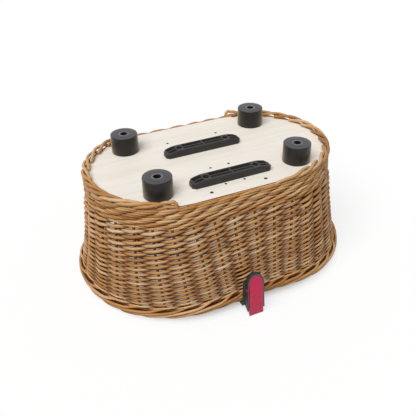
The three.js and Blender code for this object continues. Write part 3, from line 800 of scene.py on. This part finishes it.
underRod = {  # and another one lies under it
    "turns": (0, 0.5, 0.93),
    "outward": -0.0062,
    "lift": (-0.001, 0.0026, 0.0012),
    "from": 1,  # stakes before the end
    "points": 24,
    "tone": 0.5,
}


def turnsAt(degrees):
    # where the wall faces that way
    turns = np.arange(0, wall["stakes"], 0.01)  # fine enough to pick one
    angle = np.degrees(stationAt(turns)[1])
    return float(turns[np.argmin(np.abs(angle - degrees))])


def addFootBorder(name, span, node):
    rods = []
    start, end = turnsAt(span[0]), turnsAt(span[1])
    for stake in range(math.floor(start), math.floor(end - footBorder["lastAt"]) + 1):
        far = footBorder["path"][-1][0] + luck.uniform(-footBorder["shorter"], 0.0)
        samples = np.linspace(0, min(far, end - footBorder["clear"] - stake), footBorder["points"])
        outward, lift = alongPath(footBorder["path"], samples)
        turns = stake + samples
        points = liftedAt(turns, 0 * turns, outward, lift)
        radius = footBorder["radius"] * luck.uniform(*footBorder["uneven"])
        rods.append((points, radius, luck.random(), wall["crown"], turns))
    far = bentRod["path"][-1][0]
    samples = np.linspace(0, far, bentRod["points"])
    turns = end - far + samples
    points = liftedAt(turns, 0 * turns, *alongPath(bentRod["path"], samples))
    rods.append((points, footBorder["radius"], bentRod["tone"], wall["crown"], turns))
    samples = np.linspace(0, underRod["turns"][-1], underRod["points"])
    turns = end - underRod["from"] + samples
    lift = np.interp(samples, underRod["turns"], underRod["lift"])
    points = liftedAt(turns, 0 * turns, underRod["outward"], lift)
    rods.append((points, footBorder["radius"], underRod["tone"], wall["crown"], turns))
    piece = rodPiece(name, rods, footBorder["sides"])
    settle(piece, "basket", "wicker", node)


addFootBorder("foot_border_rods_right", footBorder["right"], "foot_border_right")
addFootBorder("foot_border_rods_left", footBorder["left"], "foot_border_left")
print("stage: foot borders")

# base plate keeps its CAD node
plate = cadNodes["base_plate"].data
plate.materials.clear()
plate.materials.append(plywood)

# hard parts: copies of the CAD nodes with softened edges
hardPart = {
    "merge": 0.00001,
    "flat": 1,  # degrees, faces that lie flatter than this become one
    "sharp": 32,  # edges sharper than this are bevelled
    "sharpOnBar": 60,  # on a round bar only its rims are
    "smooth": 38,  # up to this the shading is smooth
}


def onlyActive(piece):
    if bpy.context.object and bpy.context.object.mode != "OBJECT":
        bpy.ops.object.mode_set(mode="OBJECT")
    bpy.ops.object.select_all(action="DESELECT")
    piece.select_set(True)
    bpy.context.view_layer.objects.active = piece


def shadeSmooth():
    bpy.ops.object.shade_smooth_by_angle(angle=math.radians(hardPart["smooth"]))


def softenEdges(piece, width, segments=2, angle=hardPart["sharp"]):
    onlyActive(piece)
    modifier = piece.modifiers.new("edges", "BEVEL")
    modifier.width = width
    modifier.segments = segments
    modifier.limit_method = "ANGLE"
    modifier.angle_limit = math.radians(angle)
    bpy.ops.object.modifier_apply(modifier="edges")
    shadeSmooth()


def twinOf(piece):
    twin = piece.copy()
    twin.data = piece.data.copy()
    bpy.context.scene.collection.objects.link(twin)
    return twin


def copyOfNode(node, name, finish, edge, segments=2):
    piece = twinOf(cadNodes[node])
    piece.name = name
    for key in list(piece.keys()):  # a copy is no CAD node any more
        del piece[key]
    piece.parent = None
    onlyActive(piece)
    bpy.ops.object.mode_set(mode="EDIT")
    bpy.ops.mesh.select_all(action="SELECT")
    bpy.ops.mesh.remove_doubles(threshold=hardPart["merge"])
    bpy.ops.mesh.dissolve_limited(angle_limit=math.radians(hardPart["flat"]))
    bpy.ops.object.mode_set(mode="OBJECT")
    softenEdges(piece, edge, segments)
    piece.data.materials.clear()
    piece.data.materials.append(finish)
    return piece


railShape = {
    "edge": 0.0007,
    "ledge": 0.0075,  # the near slot's floor, above the plate
    "ledgeBand": 0.0004,
    "raise": 0.0026,  # it is a shallow slot
    "halfSlot": 0.040,
}
for railName in ("rail_front", "rail_back"):
    rail = copyOfNode(railName, railName + "_bar", blackPlastic, railShape["edge"])
    for vertex in rail.data.vertices:
        inside = abs(vertex.co.x) < railShape["halfSlot"]
        if inside and abs(vertex.co.z - plateTop - railShape["ledge"]) < railShape["ledgeBand"]:
            vertex.co.z += railShape["raise"]
    settle(rail, "basket", "black_plastic", railName)

footShape = {
    "edge": 0.0004,
    "mouth": 0.0077,  # the edges of the screw's recess lie inside this radius,
    "level": 0.00002,  # this near to the foot's end
    "rounding": 0.0016,
    "segments": 4,
}


def roundMouth(foot):
    onlyActive(foot)
    low, high = foot.bound_box[0], foot.bound_box[6]
    middle = Vector(((low[0] + high[0]) / 2, (low[1] + high[1]) / 2))
    bpy.context.tool_settings.mesh_select_mode = (False, True, False)
    bpy.ops.object.mode_set(mode="EDIT")
    bpy.ops.mesh.select_all(action="DESELECT")
    bpy.ops.object.mode_set(mode="OBJECT")
    spots = [vertex.co for vertex in foot.data.vertices]
    for edge in foot.data.edges:
        ends = [spots[index] for index in edge.vertices]
        atEnd = all(high[2] - spot.z < footShape["level"] for spot in ends)
        edge.select = atEnd and all((spot.xy - middle).length < footShape["mouth"] for spot in ends)
    bpy.ops.object.mode_set(mode="EDIT")
    bpy.ops.mesh.bevel(
        offset=footShape["rounding"],
        segments=footShape["segments"],
        affect="EDGES",
        material=1,
    )
    bpy.ops.object.mode_set(mode="OBJECT")
    shadeSmooth()


for footName in ("front_left", "front_right", "back_left", "back_right"):
    node = "foot_" + footName
    foot = copyOfNode(node, node + "_buffer", footRubber, footShape["edge"])
    # the rounded mouth of the screw's recess gets the paler rubber: a painted highlight
    foot.data.materials.append(paintedHighlightRubber)
    roundMouth(foot)
    settle(foot, "basket", "foot_rubber", node)
print("stage: rails and feet")

# latch: the tray and the lever in it lean back
latchLean = math.radians(4.2)
tray = {
    "edge": 0.0007,
    "paintedLightBand": 0.0012,  # painted light: the cheeks' front faces are paler, as if lit from the front
    "facing": 0.7,  # on faces that look to the front
}
housing = copyOfNode("latch_housing", "latch_tray", blackPlastic, tray["edge"])
housing.data.materials.append(paintedFrontLightPlastic)
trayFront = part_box("latch_housing")[0].y
# painted light on the faces of the cheeks that look to the front
for face in housing.data.polygons:
    frontHere = trayFront + face.center.z * math.tan(latchLean)
    if face.normal.y < -tray["facing"] and face.center.y < frontHere + tray["paintedLightBand"]:
        face.material_index = 1
settle(housing, "basket", "black_plastic", "latch_housing")

strap = {"edge": 0.0006}
clip = copyOfNode("latch_clip", "latch_strap", blackPlastic, strap["edge"])
settle(clip, "basket", "black_plastic", "latch_clip")

paddle = {
    "edge": 0.0009,
    "edgeSegments": 3,
    "skin": 0.0024,  # what lies this near to the front belongs to the face
    "domeFrom": 0.052,  # above this the face rounds off to its edge
    "domeMiddle": 0.062,
    "domeRadius": 0.0116,
    "domeMost": 0.99,  # of the radius
    "domeDepth": 0.0011,
    "cutsAcross": (0.0, 0.003, 0.0055, 0.0075, 0.009, 0.010, 0.0107),  # to both sides
    "cutsUp": (0.052, 0.055, 0.058, 0.0605, 0.063, 0.0655, 0.0675, 0.069, 0.0703, 0.0714, 0.0723),
    "ribs": 8,
    "ribSpacing": 0.0027,
    "ribRadius": 0.0007,
    "ribSides": 12,
    "ribEnd": 0.55,  # rounding of its ends, in radii
    "ribSpan": (0.009, 0.053),
    "ribProud": 0.0004,
}


def cutAcross(place, normal):
    bpy.ops.mesh.select_all(action="SELECT")
    bpy.ops.mesh.bisect(plane_co=place, plane_no=normal)


def roundPaddle(piece, middle, face):
    onlyActive(piece)
    bpy.ops.object.mode_set(mode="EDIT")
    for step in paddle["cutsAcross"]:
        cutAcross((middle + step, 0, 0), (1, 0, 0))
        cutAcross((middle - step, 0, 0), (1, 0, 0))
    for height in paddle["cutsUp"]:
        cutAcross((0, 0, height), (0, 0, 1))
    bpy.ops.object.mode_set(mode="OBJECT")
    domeHeight = paddle["domeMiddle"] - paddle["domeFrom"]
    for vertex in piece.data.vertices:
        spot = vertex.co
        skin = face + spot.z * math.tan(latchLean) + paddle["skin"]
        if spot.y < skin and spot.z > paddle["domeFrom"]:
            rise = max(spot.z - paddle["domeMiddle"], 0)
            away = math.hypot(spot.x - middle, rise) / paddle["domeRadius"]
            away = min(away, paddle["domeMost"])
            share = min((spot.z - paddle["domeFrom"]) / domeHeight, 1)
            spot.y += paddle["domeDepth"] * share * (1 - math.sqrt(1 - away * away))


def addRibs(piece, middle, face):
    low, high = paddle["ribSpan"]
    height = (low + high) / 2
    back = face + height * math.tan(latchLean) + paddle["ribRadius"] - paddle["ribProud"]
    first = middle - (paddle["ribs"] - 1) * paddle["ribSpacing"] / 2
    bpy.ops.object.select_all(action="DESELECT")
    bpy.ops.mesh.primitive_cylinder_add(
        vertices=paddle["ribSides"],
        radius=paddle["ribRadius"],
        depth=high - low,
        location=(first, back, height),
        rotation=(-latchLean, 0, 0),
    )
    rib = bpy.context.object
    bpy.ops.object.transform_apply(location=True, rotation=True, scale=True)
    rounding = paddle["ribRadius"] * paddle["ribEnd"]
    softenEdges(rib, rounding, paddle["edgeSegments"], hardPart["sharpOnBar"])
    rib.data.materials.append(redPlastic)
    ribs = [rib]
    for step in range(1, paddle["ribs"]):
        twin = twinOf(rib)
        twin.data.transform(Matrix.Translation((step * paddle["ribSpacing"], 0, 0)))
        ribs.append(twin)
    onlyActive(piece)
    for twin in ribs:
        twin.select_set(True)
    bpy.ops.object.join()


lever = copyOfNode("latch_lever", "latch_paddle", redPlastic, paddle["edge"], paddle["edgeSegments"])
leverLow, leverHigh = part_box("latch_lever")
leverMiddle = (leverLow.x + leverHigh.x) / 2
roundPaddle(lever, leverMiddle, leverLow.y)
shadeSmooth()
addRibs(lever, leverMiddle, leverLow.y)
settle(lever, "latch_lever", "red_plastic", "latch_lever")

# the coil shortens towards its seat in the tray when the lever is pressed; here it is a copy of the
# spring with a mesh of its own, and nothing shortens it
coil = {"edge": 0.00006, "edgeSegments": 1, "keep": 0.36}
coilPiece = copyOfNode("latch_spring", "latch_coil", zincSteel, coil["edge"], coil["edgeSegments"])
settle(coilPiece, "basket", "steel", "latch_spring")
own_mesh(coilPiece)
print("stage: latch")

# screws: a domed head with a cross recess on a threaded shank, modelled once at the origin, head up
screw = {
    "head": 0.0045,  # radius
    "headHeight": 0.003,
    "headSides": 28,
    "dome": 0.55,  # rounding, as a share of the height
    "domeSegments": 4,
    "recess": (0.0050, 0.0011, 0.0018),  # length, width and depth of its slots
    "shank": 0.0022,
    "shankSides": 16,
    "core": 0.0016,
    "pitch": 0.0018,
    "neck": 0.001,  # plain part under the head
    "point": 0.003,
    "tip": 0.0002,
}


def screwPattern(length):
    bpy.ops.object.select_all(action="DESELECT")
    bpy.ops.mesh.primitive_cylinder_add(
        vertices=screw["headSides"],
        radius=screw["head"],
        depth=screw["headHeight"],
    )
    head = bpy.context.object
    head.data.transform(Matrix.Translation((0, 0, screw["headHeight"] / 2)))
    rounding = screw["headHeight"] * screw["dome"]
    softenEdges(head, rounding, screw["domeSegments"], hardPart["sharpOnBar"])
    long, wide, deep = screw["recess"]
    for size in ((long, wide, 2 * deep), (wide, long, 2 * deep)):
        bpy.ops.object.select_all(action="DESELECT")
        bpy.ops.mesh.primitive_cube_add(size=1)
        cutter = bpy.context.object
        cutter.data.transform(Matrix.Diagonal((*size, 1)))
        cutter.data.transform(Matrix.Translation((0, 0, screw["headHeight"])))
        onlyActive(head)
        modifier = head.modifiers.new("recess", "BOOLEAN")
        modifier.operation = "DIFFERENCE"
        modifier.solver = "EXACT"
        modifier.object = cutter
        bpy.ops.object.modifier_apply(modifier="recess")
        bpy.data.objects.remove(cutter)
    # the thread is a stack of rings along the shank, ending in a point
    outline = [(0.0, screw["shank"])]
    threaded = length - screw["neck"] - screw["point"]
    for i in range(max(int(threaded / screw["pitch"]), 1)):
        down = screw["neck"] + i * screw["pitch"]
        outline += [(down, screw["core"]), (down + screw["pitch"] / 2, screw["shank"])]
    outline += [(length - screw["point"], screw["core"]), (length, screw["tip"])]
    bpy.ops.object.select_all(action="DESELECT")
    bpy.ops.mesh.primitive_circle_add(
        vertices=screw["shankSides"],
        radius=screw["shank"],
        fill_type="NGON",
    )
    shank = bpy.context.object
    bpy.ops.object.mode_set(mode="EDIT")
    for (upper, wideUp), (lower, wideLow) in zip(outline, outline[1:]):
        bpy.ops.mesh.extrude_region_move(TRANSFORM_OT_translate={"value": (0, 0, upper - lower)})
        narrow = wideLow / wideUp
        bpy.ops.transform.resize(value=(narrow, narrow, 1), center_override=(0, 0, -lower))
    bpy.ops.mesh.select_all(action="SELECT")
    bpy.ops.mesh.normals_make_consistent(inside=False)
    bpy.ops.object.mode_set(mode="OBJECT")
    onlyActive(head)
    shank.select_set(True)
    bpy.ops.object.join()
    shadeSmooth()
    return head


screwPatterns = {}
for node in [name for name in cadNodes if "screw" in name]:
    low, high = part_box(node)
    middle = (low + high) / 2
    lying = node.startswith("latch")  # those point at the housing
    length = (high.y - low.y if lying else high.z - low.z) - screw["headHeight"]
    kind = round(length, 4)
    if kind not in screwPatterns:
        screwPatterns[kind] = screwPattern(length)
    piece = twinOf(screwPatterns[kind])
    piece.name = node + "_fastener"
    if lying:
        turn = Matrix.Rotation(math.radians(-90), 4, "X")
        seat = Vector((middle.x, high.y - screw["headHeight"], middle.z))
    else:
        turn = Matrix.Rotation(math.radians(luck.uniform(0, 90)), 4, "Z")
        seat = Vector((middle.x, middle.y, high.z - screw["headHeight"]))
    piece.data.transform(Matrix.Translation(seat) @ turn)
    bright = node.startswith("foot")
    piece.data.materials.append(zincSteel if bright else blackSteel)
    settle(piece, "basket", "steel" if bright else "dark_steel", node)
for pattern in screwPatterns.values():
    bpy.data.objects.remove(pattern)
print("stage: screws")

# studio: pale floor, even sky and one broad soft key
studio = {
    "floor": (0.3, 0.3, 0.3, 1),
    "floorSize": 14,
    "floorBelow": 0.0002,
    "floorRough": 0.9,
    "floorSpecular": 0.1,
    "glow": 0.7,  # light from under the paper, for the eye and for reflections only
    "shaded": (0.452, 0.37, 0.286, 1),  # painted shadow: what is left of it under the basket, tinted warm as a painted bounce from the willow
    "shadedSize": (0.060, 0.158, 0.176),  # half of the straight side, and the round ends from and to
    "sky": 0.27,
    "key": 2.65,
    "keyTurn": (32, 0, -56),  # degrees
    "keySoftness": 50,
}


def seenRays(tree):
    paths = addNode(tree, "LightPath").outputs
    mirrored = calc(tree, "MAXIMUM", paths["Is Glossy Ray"], paths["Is Transmission Ray"])
    return calc(tree, "MAXIMUM", paths["Is Camera Ray"], mirrored)


def addStudio(setup):
    bpy.ops.mesh.primitive_plane_add(size=setup["floorSize"], location=(0, 0, -setup["floorBelow"]))
    floor = bpy.context.object
    floor.name = "floor"
    finish, tree, shader = newFinish(
        "floor_paper",
        Base_Color=setup["floor"],
        Roughness=setup["floorRough"],
        Specular_IOR_Level=setup["floorSpecular"],
    )
    seen = seenRays(tree)
    # painted shadow: inside the basket's outline the glow fades to the shaded colour
    straight, inner, outer = setup["shadedSize"]
    floorPlace = addNode(tree, "TexCoord").outputs["Object"]
    place = addNode(tree, "SeparateXYZ", {"Vector": floorPlace}).outputs
    beyond = calc(tree, "SUBTRACT", calc(tree, "ABSOLUTE", place["X"]), straight)
    sideways = calc(tree, "MAXIMUM", beyond, 0.0)
    across = calc(tree, "SUBTRACT", place["Y"], middleY)
    offset = addNode(tree, "CombineXYZ", {"X": sideways, "Y": across}).outputs["Vector"]
    radius = addNode(tree, "VectorMath", {0: offset}, operation="LENGTH").outputs["Value"]
    openFloor = ramp(tree, radius, [(inner, setup["shaded"]), (outer, (1, 1, 1, 1))])
    tree.links.new(openFloor, shader.inputs["Emission Color"])
    tree.links.new(calc(tree, "MULTIPLY", seen, setup["glow"]), shader.inputs["Emission Strength"])
    floor.data.materials.append(finish)

    world = bpy.data.worlds.new("studio")
    bpy.context.scene.world = world
    world.use_nodes = True
    tree = world.node_tree
    sky = tree.nodes["Background"]
    sky.inputs["Color"].default_value = (1, 1, 1, 1)
    seen = seenRays(tree)
    strength = calc(tree, "ADD", calc(tree, "MULTIPLY", seen, 1 - setup["sky"]), setup["sky"])
    tree.links.new(strength, sky.inputs["Strength"])

    bpy.ops.object.light_add(type="SUN", rotation=[math.radians(a) for a in setup["keyTurn"]])
    key = bpy.context.object
    key.name = "key"
    key.data.energy = setup["key"]
    key.data.angle = math.radians(setup["keySoftness"])


addStudio(studio)
bpy.context.scene.view_settings.view_transform = "Standard"
print("stage: studio")
